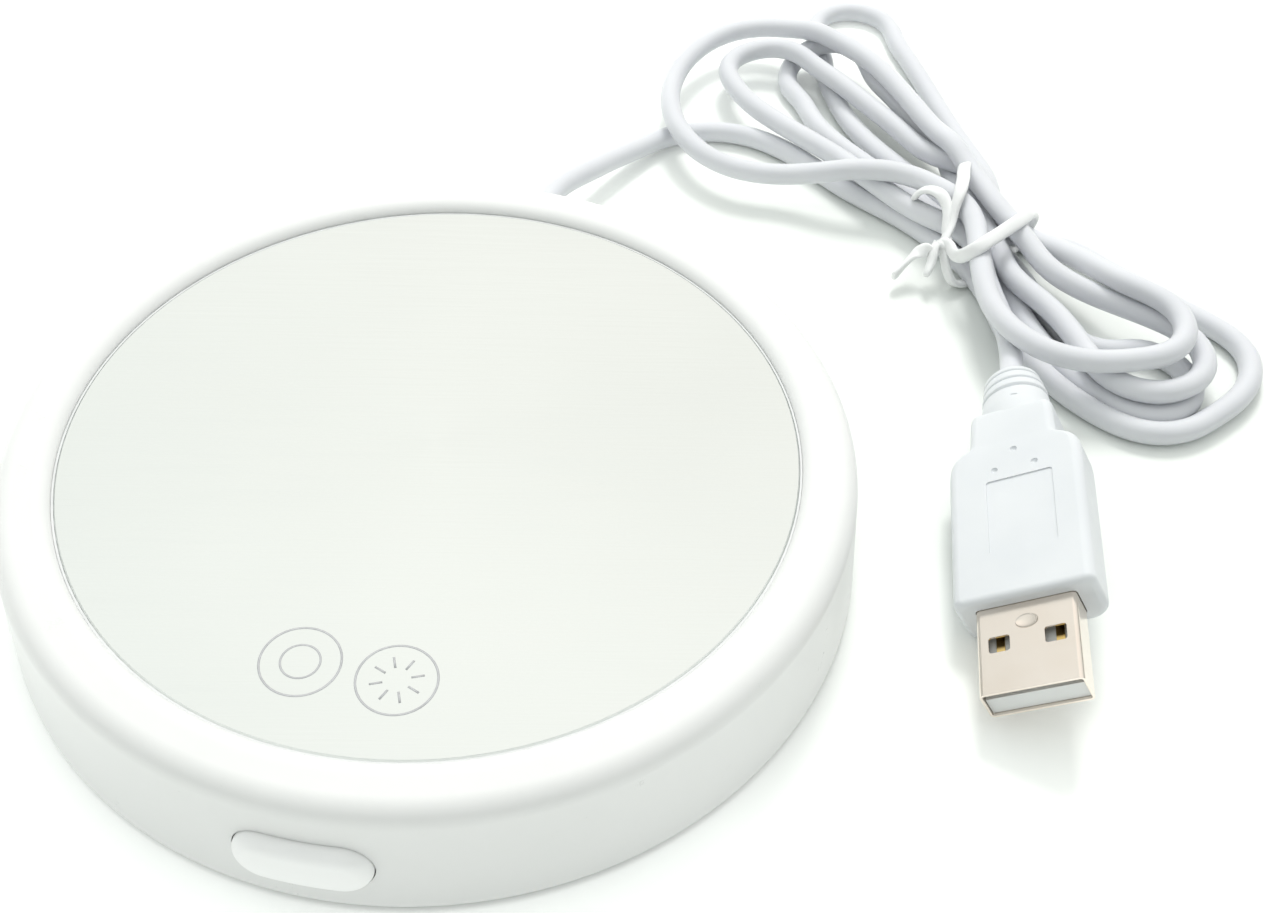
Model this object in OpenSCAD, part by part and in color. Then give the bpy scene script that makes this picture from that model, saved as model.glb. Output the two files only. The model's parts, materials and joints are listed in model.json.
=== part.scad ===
// Electric mug warmer: a round white housing with a flush metal warming plate,
// a push switch on its rim and a thin cord that ends in a flat rectangular plug.
// Millimetres. Origin: centre of the housing on the table surface. +Z up.
// The switch button faces -Y and the cord leaves at +Y.

/* [Housing] */
// Largest diameter of the housing, at its foot
body_d = 104; // [103:0.5:106]
// Diameter of the side wall where it meets the shoulder
shoulder_d = 101.4; // [101:0.1:102]
// Height of the rim above the table
rim_z = 17; // [17:0.1:18]
// Radius of the rounded outer shoulder
shoulder_r = 2.6; // [1.5:0.1:3]
// Thickness of the side wall and of the top skin
wall_t = 2; // [1.8:0.1:2.2]
// Gap between the bottom cover and the table
foot_gap = 1; // [0.8:0.1:1.2]
// Diameter of the four rubber feet
foot_d = 9; // [8:0.5:9]

/* [Warming plate] */
// Diameter of the metal plate
plate_d = 87.4; // [87:0.1:87.6]
// Thickness of the metal plate
plate_t = 1; // [0.8:0.1:1.2]
// Drop from the rim down to the top of the plate
plate_drop = 1; // [0.9:0.05:1.4]
// Thickness of the bonding ring under the plate
bond_t = 0.4; // [0.3:0.1:0.5]
// Diameter of the heating film and of the insulation under it
heater_d = 77; // [70:1:78]

/* [Switch button] */
// Width of the pill-shaped button
button_w = 14.8; // [12:0.1:15]
// Height of the pill-shaped button
button_h = 6.8; // [6:0.1:6.8]
// Height of the middle of the button above the table
button_z = 8; // [7.9:0.1:8.1]
// How far the button stands out of the wall at rest
button_proud = 1.6; // [1.4:0.1:2]
// Gap all round the button in its slot
button_gap = 0.2; // [0.15:0.05:0.3]
// Travel of the button, from rest to fully pressed
button_travel = 1.2; // [0.8:0.1:1.3]

/* [Cord and plug] */
// Diameter of the cord
cord_d = 3.3; // [3:0.1:3.4]
// Height of the cord's axis where it leaves the housing
cord_z = 6.4; // [6.2:0.1:6.6]
// Width of the plug's metal shell
shell_w = 12; // [11.9:0.1:12.1]
// Thickness of the plug's metal shell
shell_h = 4.5; // [4.4:0.1:4.6]
// Length of the metal shell outside the grip
shell_l = 12; // [11.7:0.1:12.3]
// Width of the plug's moulded grip
grip_w = 17; // [15:0.5:17]
// Thickness of the plug's moulded grip
grip_h = 8; // [7.5:0.5:8]
// Length of the wide part of the grip
grip_l = 24; // [22:0.5:25]

/* [Hidden] */

fine = 96;
mid = 40;
small = 24;

body_r = body_d / 2;
shoulder_or = shoulder_d / 2;
foot_r = foot_d / 2;
skirt_z = 1.2;                          // lower edge of the side wall
cover_z = foot_gap;                     // underside of the bottom cover
cover_t = 2;
floor_z = cover_z + cover_t;            // inner surface of the bottom cover
plate_r = plate_d / 2;
plate_z = rim_z - plate_drop;           // top of the metal plate
recess_r = plate_r + 0.3;
ledge_z = plate_z - plate_t - bond_t;   // top of the ledge that carries the plate
ledge_t = 2.5;
ledge_ir = 40;
ring_or = 46;                           // outside of the wall round the recess
under_z = ledge_z - ledge_t;            // underside of the ledge
skin_z = rim_z - wall_t;                // underside of the top skin
wall_top_z = rim_z - shoulder_r;        // where the side wall meets the shoulder

boss_pcd_r = 42.6;                      // circle of the cover screws
boss_r = 3;
boss_z = 5;                             // meeting plane of the bosses and columns
heater_r = heater_d / 2;
clamp_plate_t = 0.8;
tab_pcd_r = 42;                         // circle of the retaining screws

board_t = 1;
board_z = 4.5;                          // underside of the circuit board
board_top = board_z + board_t;
switch_y0 = -43.5;                      // front face of the switch
switch_y1 = -35.5;                      // back face of the switch
switch_top = 10.5;
plunger_w = 3;
plunger_tip_y = -46.2;
plunger_end_y = -40;
spring_end_y = -37;
pin_spots = [for (sx = [-1, 1], y = [-42, -39.5, -37]) [sx * 2.5, y]];

clamp_y0 = 39.8;
clamp_y1 = 44.2;
exit_y = 59;                            // tip of the cord's grommet

hank_z0 = 0.1;
hank_z1 = 10.3;
tie_c = [67, 69.5];                     // middle of the tied waist of the bundle
tie_a = 51;                             // direction across the waist, degrees from +X

// Outer wall radius at height z
function wall_r(z) = body_r - (z - 1.5) * (body_r - shoulder_or) / (wall_top_z - 1.5);
// Points of an arc in the profile plane
function arc(c, r, a0, a1, n) = [for (i = [0:n]) let (a = a0 + (a1 - a0) * i / n) [c[0] + r * cos(a), c[1] + r * sin(a)]];

// Route of the cord from inside the housing to the bundle: round points
lead_pts = [[0, 39, 6.4], [0, 47, 6.4], [0, 55, 6.4], [0, 60, 6.4], [0.6, 63.5, 6.3], [2.2, 67, 5.9], [4.2, 70.6, 5.3],
            [6.1, 74.3, 4.5], [8, 78, 3.7], [10.1, 81.5, 2.9], [12.2, 84.9, 2.3], [14.6, 87.7, 1.9], [17.8, 89.7, 1.75]];
// Route of the cord from the bundle to the plug
tail_pts = [[70.3, 44, 4.95], [70.35, 42.2, 4.95], [70.37, 40.2, 4.98], [70.34, 38.6, 5.06], [70.32, 37.2, 5.23], [70.38, 36.04, 5.53]];
// Middle of the plug's ribbed sleeve, in the plug's own frame
sleeve_pts = [[0, 29.6, 0], [0, 31.2, 0], [0, 32.8, 0], [-0.05, 34.4, -0.1], [-0.2, 35.9, -0.35], [-0.35, 37.3, -0.6], [-0.55, 38.7, -0.95],
              [-0.72, 40, -1.22]];
// Route of the supply wires from the clamped cord end to the board
supply_pts = [[0, 39, 6.4], [0, 34, 6.2], [0.6, 22, 5], [1, 8, 4.6], [1, -8, 4.6], [1, -20, 5.4], [1.2, -27, 6.1], [1.5, -31, 6.1]];
// Route of a heater wire from the board up into the insulation
heater_pts = [[6, -30.5, 6.1], [6.2, -24, 6.3], [8, -14, 7.4], [10, -6, 8.6], [11, -1.6, 9.6], [11, -0.4, 11], [11, 0, under_z + 0.3], [11, 0, under_z + 2.55]];

// ---- helpers -------------------------------------------------------------

// Four copies on the circle of the cover screws
module at_bosses() {
    for (a = [45:90:315]) rotate([0, 0, a]) translate([boss_pcd_r, 0, 0]) children();
}
// Three copies on the circle of the retaining screws
module at_tabs() {
    for (a = [0:120:240]) rotate([0, 0, a]) translate([tab_pcd_r, 0, 0]) children();
}
// Pill-shaped prism along Y, from y0 to y1, centred on x = 0 and z = 0
module pill(w, h, y0, y1) {
    for (s = [-1, 1]) translate([s * (w - h) / 2, y1, 0]) rotate([90, 0, 0]) cylinder(r = h / 2, h = y1 - y0, $fn = mid);
    translate([-(w - h) / 2, y0, -h / 2]) cube([w - h, y1 - y0, h]);
}
// Prism along Y with a rounded rectangular section; rb is the radius of its lower edges if they differ
module bar(w, h, r, y0, y1, rb = 0) {
    q = rb > 0 ? rb : r;
    translate([-w / 2 + r, y0, 0]) cube([w - 2 * r, y1 - y0, h / 2]);
    translate([-w / 2 + q, y0, -h / 2]) cube([w - 2 * q, y1 - y0, h / 2]);
    translate([-w / 2, y0, -h / 2 + q]) cube([w, y1 - y0, h - r - q]);
    for (sx = [-1, 1]) {
        translate([sx * (w / 2 - r), y1, h / 2 - r]) rotate([90, 0, 0]) cylinder(r = r, h = y1 - y0, $fn = mid);
        translate([sx * (w / 2 - q), y1, q - h / 2]) rotate([90, 0, 0]) cylinder(r = q, h = y1 - y0, $fn = mid);
    }
}
// Round bar along Y
module rod_y(r, y0, y1, f = mid) {
    translate([0, y1, 0]) rotate([90, 0, 0]) cylinder(r = r, h = y1 - y0, $fn = f);
}
function unit(v) = v / norm(v);
function tangent(p, i) = unit(i == 0 ? p[1] - p[0] : i == len(p) - 1 ? p[i] - p[i - 1] : unit(p[i + 1] - p[i]) + unit(p[i] - p[i - 1]));
// Frame vectors carried along a route without twist
function side0(t) = unit(cross(t, abs(t[2]) < 0.8 ? [0, 0, 1] : [1, 0, 0]));
function carried(p, i, s) = let (t = tangent(p, i)) unit(s - t * (s * t));
function sides(p, i = 0, s = undef) = i >= len(p) ? [] :
    let (n = i == 0 ? side0(tangent(p, 0)) : carried(p, i, s)) concat([n], sides(p, i + 1, n));
// Tube swept along a route, closed at both ends; r is one radius or one for each point
module sweep(p, r, n = 8) {
    s = sides(p);
    pts = [for (i = [0:len(p) - 1]) let (t = tangent(p, i), u = s[i], v = cross(t, u), q = is_list(r) ? r[i] : r)
           for (k = [0:n - 1]) p[i] + q * (cos(360 * k / n) * u + sin(360 * k / n) * v)];
    m = len(p);
    polyhedron(points = pts,
        faces = concat([[for (k = [0:n - 1]) k]],
                       [for (i = [0:m - 2], k = [0:n - 1]) let (a = i * n + k, b = i * n + (k + 1) % n) [a, a + n, b + n, b]],
                       [[for (k = [0:n - 1]) m * n - 1 - k]]), convexity = 6);
}
// The plug lies rolled on one edge of its grip; its own frame has the cord side at +Y
module plug_frame() {
    translate([72.6, -3.9, 6.95]) rotate([0, 0, 3.2]) rotate([0, -31, 0]) children();
}

// ---- housing -------------------------------------------------------------

module upper_shell() {
    color([0.93, 0.94, 0.94]) difference() {
        union() {
            rotate_extrude($fn = fine) polygon(concat(
                [[body_r - wall_t, skirt_z], [body_r - 0.3, skirt_z], [body_r, 1.5]],
                arc([shoulder_or - shoulder_r, wall_top_z], shoulder_r, 0, 90, 8),
                arc([recess_r + 1.93, rim_z - 2.4], 2.4, 90, 143, 8),
                [[recess_r, ledge_z], [ledge_ir, ledge_z], [ledge_ir, under_z],
                 [ring_or, under_z], [ring_or, skin_z], [shoulder_or - wall_t - 1.2, skin_z],
                 [shoulder_or - wall_t, skin_z - 1.2]]));
            at_bosses() translate([0, 0, boss_z]) cylinder(r = boss_r, h = under_z - boss_z + 0.5, $fn = small);
        }
        at_bosses() translate([0, 0, boss_z - 1]) cylinder(r = 1.15, h = 7, $fn = small);
        at_tabs() translate([0, 0, under_z - 0.5]) cylinder(r = 0.8, h = 2.4, $fn = small);
        translate([0, 0, button_z]) pill(button_w + 2 * button_gap, button_h + 2 * button_gap, -56, -47);
        translate([0, 0, cord_z]) rod_y(3.2, 47, 56);
    }
}

module base_cover() {
    color([0.88, 0.89, 0.89]) difference() {
        union() {
            rotate_extrude($fn = fine) polygon([[0, cover_z], [49.2, cover_z], [49.6, cover_z + 0.4], [49.6, floor_z], [0, floor_z]]);
            difference() {
                translate([0, 0, floor_z - 0.5]) cylinder(r = 47.8, h = 1.7, $fn = fine);
                translate([0, 0, floor_z - 1]) cylinder(r = 46.6, h = 3, $fn = fine);
                translate([-11, -50, floor_z]) cube([22, 10, 3]);
                translate([-6, 40, floor_z]) cube([12, 10, 3]);
            }
            at_bosses() translate([0, 0, floor_z - 0.5]) cylinder(r = 4, h = boss_z - floor_z + 0.5, $fn = small);
            for (s = [-1, 1]) {
                translate([s * 10.3, -36, floor_z - 0.5]) cylinder(r = 2.5, h = board_z - floor_z + 0.5, $fn = small);
                translate([s * 6.5, (clamp_y0 + clamp_y1) / 2, floor_z - 0.5]) cylinder(r = 2.2, h = cord_z - floor_z + 0.5, $fn = small);
            }
            translate([-3.4, clamp_y0, floor_z - 0.5]) cube([6.8, clamp_y1 - clamp_y0, cord_z - 0.4 - floor_z + 0.5]);
        }
        at_bosses() {
            translate([0, 0, cover_z - 1]) cylinder(r = foot_r + 0.1, h = 1.8, $fn = mid);
            translate([0, 0, cover_z + 0.5]) cylinder(r = 2.45, h = 1.9, $fn = small);
            translate([0, 0, cover_z]) cylinder(r = 1.45, h = 6, $fn = small);
        }
        for (s = [-1, 1]) {
            translate([s * 10.3, -36, 1.8]) cylinder(r = 0.8, h = 6, $fn = small);
            translate([s * 6.5, (clamp_y0 + clamp_y1) / 2, 1.8]) cylinder(r = 0.8, h = 6, $fn = small);
        }
        translate([0, 0, cord_z]) rod_y(cord_d / 2, clamp_y0 - 1, clamp_y1 + 1);
        // Room for the inner flange of the cord's grommet
        translate([-5, 47.6, 1.9]) cube([10, 3, 3]);
    }
}

module rubber_feet() {
    color([0.78, 0.79, 0.79]) at_bosses() rotate_extrude($fn = mid)
        polygon([[0, 0], [foot_r - 0.4, 0], [foot_r, 0.4], [foot_r, cover_z + 0.8], [0, cover_z + 0.8]]);
}

module base_screws() {
    color([0.6, 0.61, 0.62]) at_bosses() difference() {
        union() {
            translate([0, 0, cover_z + 0.9]) cylinder(r = 2.3, h = 1.5, $fn = small);
            translate([0, 0, cover_z + 2.3]) cylinder(r = 1.3, h = 7.5, $fn = small);
        }
        for (a = [0, 90]) rotate([0, 0, a]) translate([-1.4, -0.25, cover_z]) cube([2.8, 0.5, 1.6]);
    }
}

// ---- warming plate stack ---------------------------------------------------

module heating_plate() {
    color([0.86, 0.87, 0.85]) rotate_extrude($fn = fine)
        polygon([[0, plate_z - plate_t], [plate_r, plate_z - plate_t], [plate_r, plate_z - 0.2], [plate_r - 0.2, plate_z], [0, plate_z]]);
}

module bond_ring() {
    // Flat under the plate, with a bead that fills the gap round its edge
    color([0.78, 0.79, 0.79]) rotate_extrude($fn = fine) polygon([
        [ledge_ir + 0.4, ledge_z], [recess_r - 0.02, ledge_z], [recess_r - 0.02, plate_z - 0.15], [plate_r + 0.02, plate_z - 0.15],
        [plate_r + 0.02, ledge_z + bond_t], [ledge_ir + 0.4, ledge_z + bond_t]]);
}

module heater_film() {
    color([0.80, 0.50, 0.16]) translate([0, 0, plate_z - plate_t - 0.3]) cylinder(r = heater_r, h = 0.3, $fn = fine);
}

module insulation_pad() {
    color([0.90, 0.89, 0.84]) difference() {
        translate([0, 0, under_z]) cylinder(r = heater_r, h = plate_z - plate_t - 0.3 - under_z, $fn = fine);
        translate([-13, -3, under_z - 1]) cube([26, 6, 6]);
    }
}

module retaining_plate() {
    color([0.70, 0.71, 0.72]) difference() {
        translate([0, 0, under_z - clamp_plate_t]) cylinder(r = 43.6, h = clamp_plate_t, $fn = fine);
        at_bosses() translate([0, 0, under_z - 3]) cylinder(r = boss_r + 0.4, h = 6, $fn = small);
        at_tabs() translate([0, 0, under_z - 3]) cylinder(r = 1.1, h = 6, $fn = small);
        for (s = [-1, 1]) translate([s * 11, 0, under_z - 3]) cylinder(r = 1.5, h = 6, $fn = small);
    }
}

module retaining_screws() {
    color([0.6, 0.61, 0.62]) at_tabs() {
        translate([0, 0, under_z - clamp_plate_t - 0.9]) cylinder(r = 1.9, h = 0.9, $fn = small);
        translate([0, 0, under_z - clamp_plate_t - 0.1]) cylinder(r = 1, h = 2.6, $fn = small);
    }
}

module thermal_cutoff() {
    color([0.85, 0.84, 0.78]) translate([-4.5, 0, under_z + 1.25]) rotate([0, 90, 0]) {
        cylinder(r = 1.15, h = 9, $fn = small);
        translate([0, 0, -5.85]) cylinder(r = 0.4, h = 20.7, $fn = small);
    }
}

module heater_leads() {
    color([0.75, 0.16, 0.13]) {
        sweep(heater_pts, 0.6);
        mirror([1, 0, 0]) sweep(heater_pts, 0.6);
    }
}

// ---- switch ----------------------------------------------------------------

module circuit_board() {
    color([0.10, 0.38, 0.20]) difference() {
        translate([-13, -44, board_z]) cube([26, 15, board_t]);
        for (s = [-1, 1]) translate([s * 10.3, -36, board_z - 1]) cylinder(r = 1.1, h = 4, $fn = small);
        for (p = pin_spots) translate([p[0] - 0.35, p[1] - 0.35, board_z - 1]) cube([0.7, 0.7, 3]);
    }
}

module board_screws() {
    color([0.6, 0.61, 0.62]) for (s = [-1, 1]) translate([s * 10.3, -36, 0]) {
        translate([0, 0, board_top]) cylinder(r = 1.9, h = 1.2, $fn = small);
        translate([0, 0, 2]) cylinder(r = 1, h = board_top - 1.9, $fn = small);
    }
}

module switch_body() {
    color([0.13, 0.13, 0.14]) difference() {
        translate([-4, switch_y0, board_top]) cube([8, switch_y1 - switch_y0, switch_top - board_top]);
        translate([-plunger_w / 2 - 0.15, switch_y0 - 1, button_z - plunger_w / 2 - 0.15]) cube([plunger_w + 0.3, spring_end_y - switch_y0 + 1, plunger_w + 0.3]);
    }
}

module switch_pins() {
    color([0.80, 0.80, 0.78]) for (p = pin_spots)
        translate([p[0] - 0.3, p[1] - 0.3, 3.6]) cube([0.6, 0.6, board_top - 3.6]);
}

module switch_plunger() {
    color([0.92, 0.92, 0.92]) translate([0, 0, button_z]) difference() {
        translate([-plunger_w / 2, plunger_tip_y, -plunger_w / 2]) cube([plunger_w, plunger_end_y - plunger_tip_y, plunger_w]);
        rod_y(1, plunger_end_y - 1, plunger_end_y + 1, small);
    }
}

module return_spring() {
    turns = 5;
    y0 = plunger_end_y + 0.12;
    y1 = spring_end_y - 0.12;
    color([0.75, 0.76, 0.78]) translate([0, 0, button_z])
        sweep([for (i = [0:turns * 14]) let (f = i / (turns * 14)) [1.25 * cos(360 * turns * f), y0 + (y1 - y0) * f, 1.25 * sin(360 * turns * f)]], 0.12, 6);
}

module switch_button() {
    face_r = wall_r(button_z) + button_proud;
    color([0.95, 0.96, 0.96]) translate([0, 0, button_z]) {
        intersection() {
            union() {
                pill(button_w, button_h, -60, -47.6);
            }
            // Face curved like the wall, with a bevel round its edge
            union() {
                translate([0, 0, -10]) cylinder(r = face_r - 0.75, h = 20, $fn = 180);
                intersection() {
                    translate([0, 0, -10]) cylinder(r = face_r - 0.3, h = 20, $fn = 180);
                    pill(button_w - 0.8, button_h - 0.8, -60, -47.6);
                }
                intersection() {
                    translate([0, 0, -10]) cylinder(r = face_r, h = 20, $fn = 180);
                    pill(button_w - 2, button_h - 2, -60, -47.6);
                }
            }
        }
        // Ears that keep the button in its slot
        intersection() {
            translate([-9.2, -52, -2.6]) cube([18.4, 6, 5.2]);
            difference() {
                translate([0, 0, -10]) cylinder(r = 48.8, h = 20, $fn = 180);
                translate([0, 0, -11]) cylinder(r = 47.6, h = 22, $fn = 180);
            }
        }
        // Stem that presses the switch
        translate([-2.6, -48, -2.2]) cube([5.2, 48 + plunger_tip_y, 4.4]);
    }
}

// ---- cord inside the housing -----------------------------------------------

module cord_clamp() {
    color([0.90, 0.90, 0.89]) difference() {
        translate([-9, clamp_y0, cord_z]) cube([18, clamp_y1 - clamp_y0, 2.5]);
        translate([0, 0, cord_z]) rod_y(cord_d / 2, clamp_y0 - 1, clamp_y1 + 1);
        for (s = [-1, 1]) translate([s * 6.5, (clamp_y0 + clamp_y1) / 2, cord_z - 1]) cylinder(r = 1.1, h = 5, $fn = small);
    }
}

module clamp_screws() {
    color([0.6, 0.61, 0.62]) for (s = [-1, 1]) translate([s * 6.5, (clamp_y0 + clamp_y1) / 2, 0]) {
        translate([0, 0, cord_z + 2.5]) cylinder(r = 1.9, h = 1.2, $fn = small);
        translate([0, 0, 2]) cylinder(r = 1, h = cord_z + 0.6, $fn = small);
    }
}

module supply_leads() {
    color([0.12, 0.12, 0.13]) for (s = [-1, 1])
        sweep([for (p = supply_pts) [p[0] * s + s * 0.7, p[1], p[2]]], 0.55);
}

module cord_grommet() {
    color([0.93, 0.94, 0.94]) translate([0, 0, cord_z]) rotate([-90, 0, 0]) rotate_extrude($fn = mid)
        polygon([[1.7, 48], [4.3, 48], [4.3, 49], [3.1, 49], [3.1, 52], [3.9, 52], [3.9, 52.6],
                 [3.5, 53], [3.2, 53.2], [2.6, 53.2], [2.6, 53.8], [3.05, 53.8], [2.95, 54.8], [2.45, 54.8], [2.45, 55.4],
                 [2.8, 55.4], [2.7, 56.4], [2.3, 56.4], [2.3, 57], [2.55, 57], [2.4, exit_y - 0.3], [2.1, exit_y], [1.7, exit_y]]);
}

// ---- free cord ---------------------------------------------------------------

module cord_lead() { color([0.92, 0.93, 0.95]) sweep(lead_pts, cord_d / 2); }

module cord_tail() { color([0.92, 0.93, 0.95]) sweep(tail_pts, cord_d / 2); }

// Outer shape of the loosely tied bundle: two fans of loops that meet at the tie
module cord_hank() {
    color([0.92, 0.93, 0.95]) translate([0, 0, hank_z0]) linear_extrude(hank_z1 - hank_z0) {
        hull() {
            translate([27.5, 95.5]) circle(r = 20, $fn = 32);
            translate([30.5, 108]) circle(r = 15.5, $fn = 32);
            translate([66.4, 70.9]) circle(r = 7.4, $fn = 32);
        }
        hull() {
            translate([41, 128.5]) circle(r = 9.6, $fn = 32);
            translate([64.3, 82.5]) circle(r = 6.1, $fn = 32);
        }
        hull() {
            translate([68.4, 69.6]) circle(r = 6.9, $fn = 32);
            translate([73, 50]) circle(r = 9, $fn = 32);
            translate([90, 52]) circle(r = 19, $fn = 32);
        }
    }
}

// Flat twist tie round the waist of the bundle, with its twisted tail
module twist_tie() {
    color([0.88, 0.90, 0.92]) translate([tie_c[0], tie_c[1], 0]) rotate([0, 0, tie_a]) {
        difference() {
            translate([-8.6, -1.2, 0]) cube([17.5, 2.4, 10.9]);
            translate([-8, -2, 0.6]) cube([16.3, 4, 9.7]);
        }
        // Twisted ends, lying out beside the bundle
        translate([-12.7, -0.6, 3]) cube([4.2, 1.2, 1.2]);
    }
}

module plug_grip() {
    color([0.90, 0.92, 0.96]) plug_frame() difference() {
        union() {
            bar(grip_w, grip_h, 1.2, 0, grip_l, 2.4);
            bar(11, grip_h - 0.2, 1.1, grip_l - 1, 30.8);
            // Sleeve that bends down to meet the cord
            sweep(sleeve_pts, [for (i = [0:len(sleeve_pts) - 1]) 3.8 - 0.1 * i], 16);
        }
        // Socket for the metal shell
        translate([-shell_w / 2, -1, -shell_h / 2]) cube([shell_w, 5, shell_h]);
    }
}

module plug_shell() {
    color([0.80, 0.76, 0.73]) plug_frame() difference() {
        bar(shell_w, shell_h, 0.5, -shell_l, 4);
        translate([-shell_w / 2 + 0.3, -shell_l - 1, -shell_h / 2 + 0.3]) cube([shell_w - 0.6, shell_l + 4.4, shell_h - 0.6]);
        for (s = [-1, 1]) translate([s * 3.3 - 1.25, -6.4, -5]) cube([2.5, 2.2, 10]);
        // Shallow round dent on the top face
        translate([0, -2.75, shell_h / 2 - 0.15]) cylinder(r = 1.1, h = 5, $fn = small);
    }
}

module plug_tongue() {
    color([0.92, 0.92, 0.92]) plug_frame() {
        translate([-shell_w / 2 + 0.35, -shell_l + 0.4, -shell_h / 2 + 0.35]) cube([shell_w - 0.7, shell_l + 2.8, 2.7]);
        translate([-shell_w / 2 + 0.35, 0, -shell_h / 2 + 0.35]) cube([shell_w - 0.7, 3.2, shell_h - 0.7]);
    }
}

module plug_contacts() {
    color([0.85, 0.68, 0.32]) plug_frame() for (x = [-3.5, -1, 1, 3.5])
        translate([x - 0.5, -shell_l + (abs(x) > 2 ? 1.6 : 2.6), -shell_h / 2 + 3.05]) cube([1, shell_l - (abs(x) > 2 ? 1.7 : 2.7), 0.2]);
}

upper_shell();
base_cover();
heating_plate();
bond_ring();
heater_film();
insulation_pad();
retaining_plate();
retaining_screws();
thermal_cutoff();
heater_leads();
circuit_board();
board_screws();
switch_body();
switch_pins();
switch_plunger();
return_spring();
switch_button();
cord_clamp();
clamp_screws();
supply_leads();
base_screws();
rubber_feet();
cord_grommet();
cord_lead();
cord_hank();
cord_tail();
twist_tie();
plug_grip();
plug_shell();
plug_tongue();
plug_contacts();
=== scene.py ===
"""Electric mug warmer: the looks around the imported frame. Metres, +Z up, origin under the housing's centre."""

import json
import math

import bmesh
import bpy
import numpy as np
from mathutils import Matrix, Vector


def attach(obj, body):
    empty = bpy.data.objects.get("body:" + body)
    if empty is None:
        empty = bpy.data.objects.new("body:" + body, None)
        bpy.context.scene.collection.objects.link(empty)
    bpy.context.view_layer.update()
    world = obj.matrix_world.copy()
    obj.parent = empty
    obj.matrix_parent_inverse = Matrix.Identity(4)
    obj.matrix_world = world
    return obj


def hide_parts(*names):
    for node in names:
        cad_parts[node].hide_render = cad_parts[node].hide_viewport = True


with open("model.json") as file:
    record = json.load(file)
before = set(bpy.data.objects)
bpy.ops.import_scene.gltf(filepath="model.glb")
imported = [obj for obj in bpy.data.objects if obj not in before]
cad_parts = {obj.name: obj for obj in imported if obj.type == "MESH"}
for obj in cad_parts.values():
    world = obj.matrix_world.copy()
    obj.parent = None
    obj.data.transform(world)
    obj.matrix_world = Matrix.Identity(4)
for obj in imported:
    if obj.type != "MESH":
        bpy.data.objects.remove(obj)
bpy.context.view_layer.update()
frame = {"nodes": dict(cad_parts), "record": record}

MM = 0.001
scene = bpy.context.scene
NODES = frame["nodes"]

# ---------------------------------------------------------------------------
# Camera
# ---------------------------------------------------------------------------

cam_data = bpy.data.cameras.new("camera")
cam = bpy.data.objects.new("camera", cam_data)
scene.collection.objects.link(cam)
cam.matrix_world = Matrix(
    (
        (0.983329, -0.153371, 0.097678, 0.0410085),
        (0.178825, 0.718364, -0.672291, -0.1158044),
        (0.032942, 0.678551, 0.733814, 0.1452597),
        (0, 0, 0, 1),
    )
)
cam_data.sensor_fit = "HORIZONTAL"
cam_data.sensor_width = 36.0
cam_data.lens = 41.976
cam_data.clip_start = 0.005
cam_data.clip_end = 20.0
scene.camera = cam
scene.view_settings.view_transform = "Standard"
scene.view_settings.look = "None"
scene.view_settings.exposure = 0.0
scene.view_settings.gamma = 1.0

# ---------------------------------------------------------------------------
# Materials
# ---------------------------------------------------------------------------


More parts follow.
